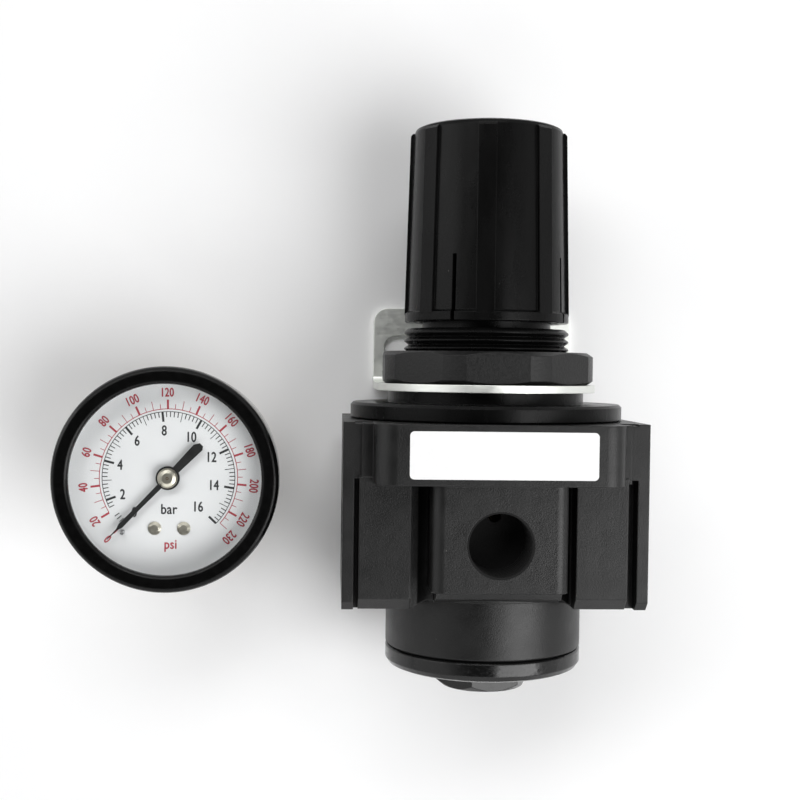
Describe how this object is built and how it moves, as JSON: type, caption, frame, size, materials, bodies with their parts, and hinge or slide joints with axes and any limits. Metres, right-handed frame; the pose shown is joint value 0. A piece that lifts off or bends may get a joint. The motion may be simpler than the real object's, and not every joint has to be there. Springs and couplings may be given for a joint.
{
  "type": "air pressure regulator",
  "caption": "Air line pressure regulator with push-pull knob, threaded neck and bent mounting bracket, and a separate back-stem dial pressure gauge.",
  "frame": {"origin": "foot of the port axis on the flat rear pad: the regulator lies on its back, and the centre of the inlet, outlet and gauge ports is straight above the origin", "axes": "+X along the flow towards the outlet port; +Y along the regulator's axis towards the knob; +Z out of the gauge port, square to the rear pad"},
  "size_m": [0.1096, 0.108, 0.0556],
  "materials": {
    "black_paint": "satin black paint on die-cast metal",
    "black_plastic": "satin moulded plastic",
    "gloss_black_plastic": "glossy moulded plastic",
    "zinc_plate": "bright zinc plating",
    "white_label": "blank label",
    "plain_steel": "machined steel",
    "spring_steel": "spring wire",
    "brass": "machined brass",
    "bronze": "phosphor bronze",
    "rubber": "moulded nitrile",
    "gauge_black": "glossy black enamel",
    "window": "clear window",
    "dial_white": "white enamel, printed",
    "nickel": "bright nickel plating",
    "pointer_black": "black paint"
  },
  "bodies": {
    "housing": {"body": "black_paint", "bonnet": "black_plastic", "bottom_plug": "gloss_black_plastic", "plug_o_ring": "rubber", "tail_o_ring": "rubber", "valve_seat": "brass", "diaphragm": "rubber", "main_spring": "spring_steel", "valve_spring": "spring_steel", "screw_thrust_washer": "plain_steel", "mounting_bracket": "zinc_plate", "blank_sticker": "white_label"},
    "screw": {"adjusting_screw": "plain_steel", "screw_retaining_clip": "plain_steel"},
    "knob": {"knob": "black_plastic"},
    "spring_nut": {"spring_nut": "brass"},
    "diaphragm_plates": {"spring_cup": "plain_steel", "diaphragm_plate": "plain_steel"},
    "poppet": {"poppet": "brass", "poppet_seal": "rubber"},
    "panel_nut": {"panel_nut": "black_plastic"},
    "gauge": {"gauge_socket": "brass", "gauge_case": "gauge_black", "bezel": "gauge_black", "lens": "window", "lens_gasket": "rubber", "dial": "dial_white", "dial_screws": "nickel", "stop_pin": "plain_steel", "bourdon_tube": "bronze", "movement_back_plate": "brass", "movement_front_plate": "brass", "movement_pillars": "brass", "movement_screws": "plain_steel", "hairspring": "bronze"},
    "pointer": {"pointer": "pointer_black", "pointer_cap": "nickel", "pinion_shaft": "plain_steel"},
    "sector": {"sector_gear": "brass"},
    "link": {"link": "brass"}
  },
  "joints": [
    {"name": "knob_turn", "type": "hinge", "parent": "housing", "child": "screw", "pos_m": [0, 0.05, 0.0272], "axis": [0, -1, 0], "range_deg": [0, 1728]},
    {"name": "knob_pull", "type": "slide", "parent": "screw", "child": "knob", "axis": [0, 1, 0], "range_m": [0, 0.004]},
    {"name": "spring_nut_travel", "type": "slide", "parent": "housing", "child": "spring_nut", "axis": [0, -1, 0], "range_m": [0, 0.00601], "deforming": ["main_spring"]},
    {"name": "diaphragm_travel", "type": "slide", "parent": "housing", "child": "diaphragm_plates", "axis": [0, -1, 0], "range_m": [0, 0.0012], "stiffness_N_per_m": 2000, "deforming": ["diaphragm", "main_spring"]},
    {"name": "poppet_travel", "type": "slide", "parent": "housing", "child": "poppet", "axis": [0, -1, 0], "range_m": [0, 0.00121], "deforming": ["valve_spring"]},
    {"name": "panel_nut_travel", "type": "slide", "parent": "housing", "child": "panel_nut", "axis": [0, 1, 0], "range_m": [0, 0.0036]},
    {"name": "gauge_lift_off", "type": "slide", "parent": "housing", "child": "gauge", "axis": [0, 0, 1], "range_m": [0, 0.08]},
    {"name": "sector_swing", "type": "hinge", "parent": "gauge", "child": "sector", "pos_m": [-0.0607, 0.001, 0.027], "axis": [0, 0, 1], "range_deg": [0, 44.6], "stiffness_Nm_per_rad": 0.001, "deforming": ["bourdon_tube"]},
    {"name": "pointer_turn", "type": "hinge", "parent": "gauge", "child": "pointer", "pos_m": [-0.0607, 0.00975, 0.03], "axis": [0, 0, -1], "range_deg": [0, 267.7], "deforming": ["hairspring"]},
    {"name": "link_swing", "type": "hinge", "parent": "sector", "child": "link", "pos_m": [-0.05561, -0.00109, 0.027], "axis": [0, 0, 1], "range_deg": [-44.7, 0]}
  ],
  "couplings": [
    {"joint": "spring_nut_travel", "follows": "knob_turn", "m_per_rad": 0.00019894},
    {"joint": "poppet_travel", "follows": "diaphragm_travel", "ratio": 1},
    {"joint": "pointer_turn", "follows": "sector_swing", "ratio": 6},
    {"joint": "link_swing", "follows": "sector_swing", "ratio": -1}
  ]
}
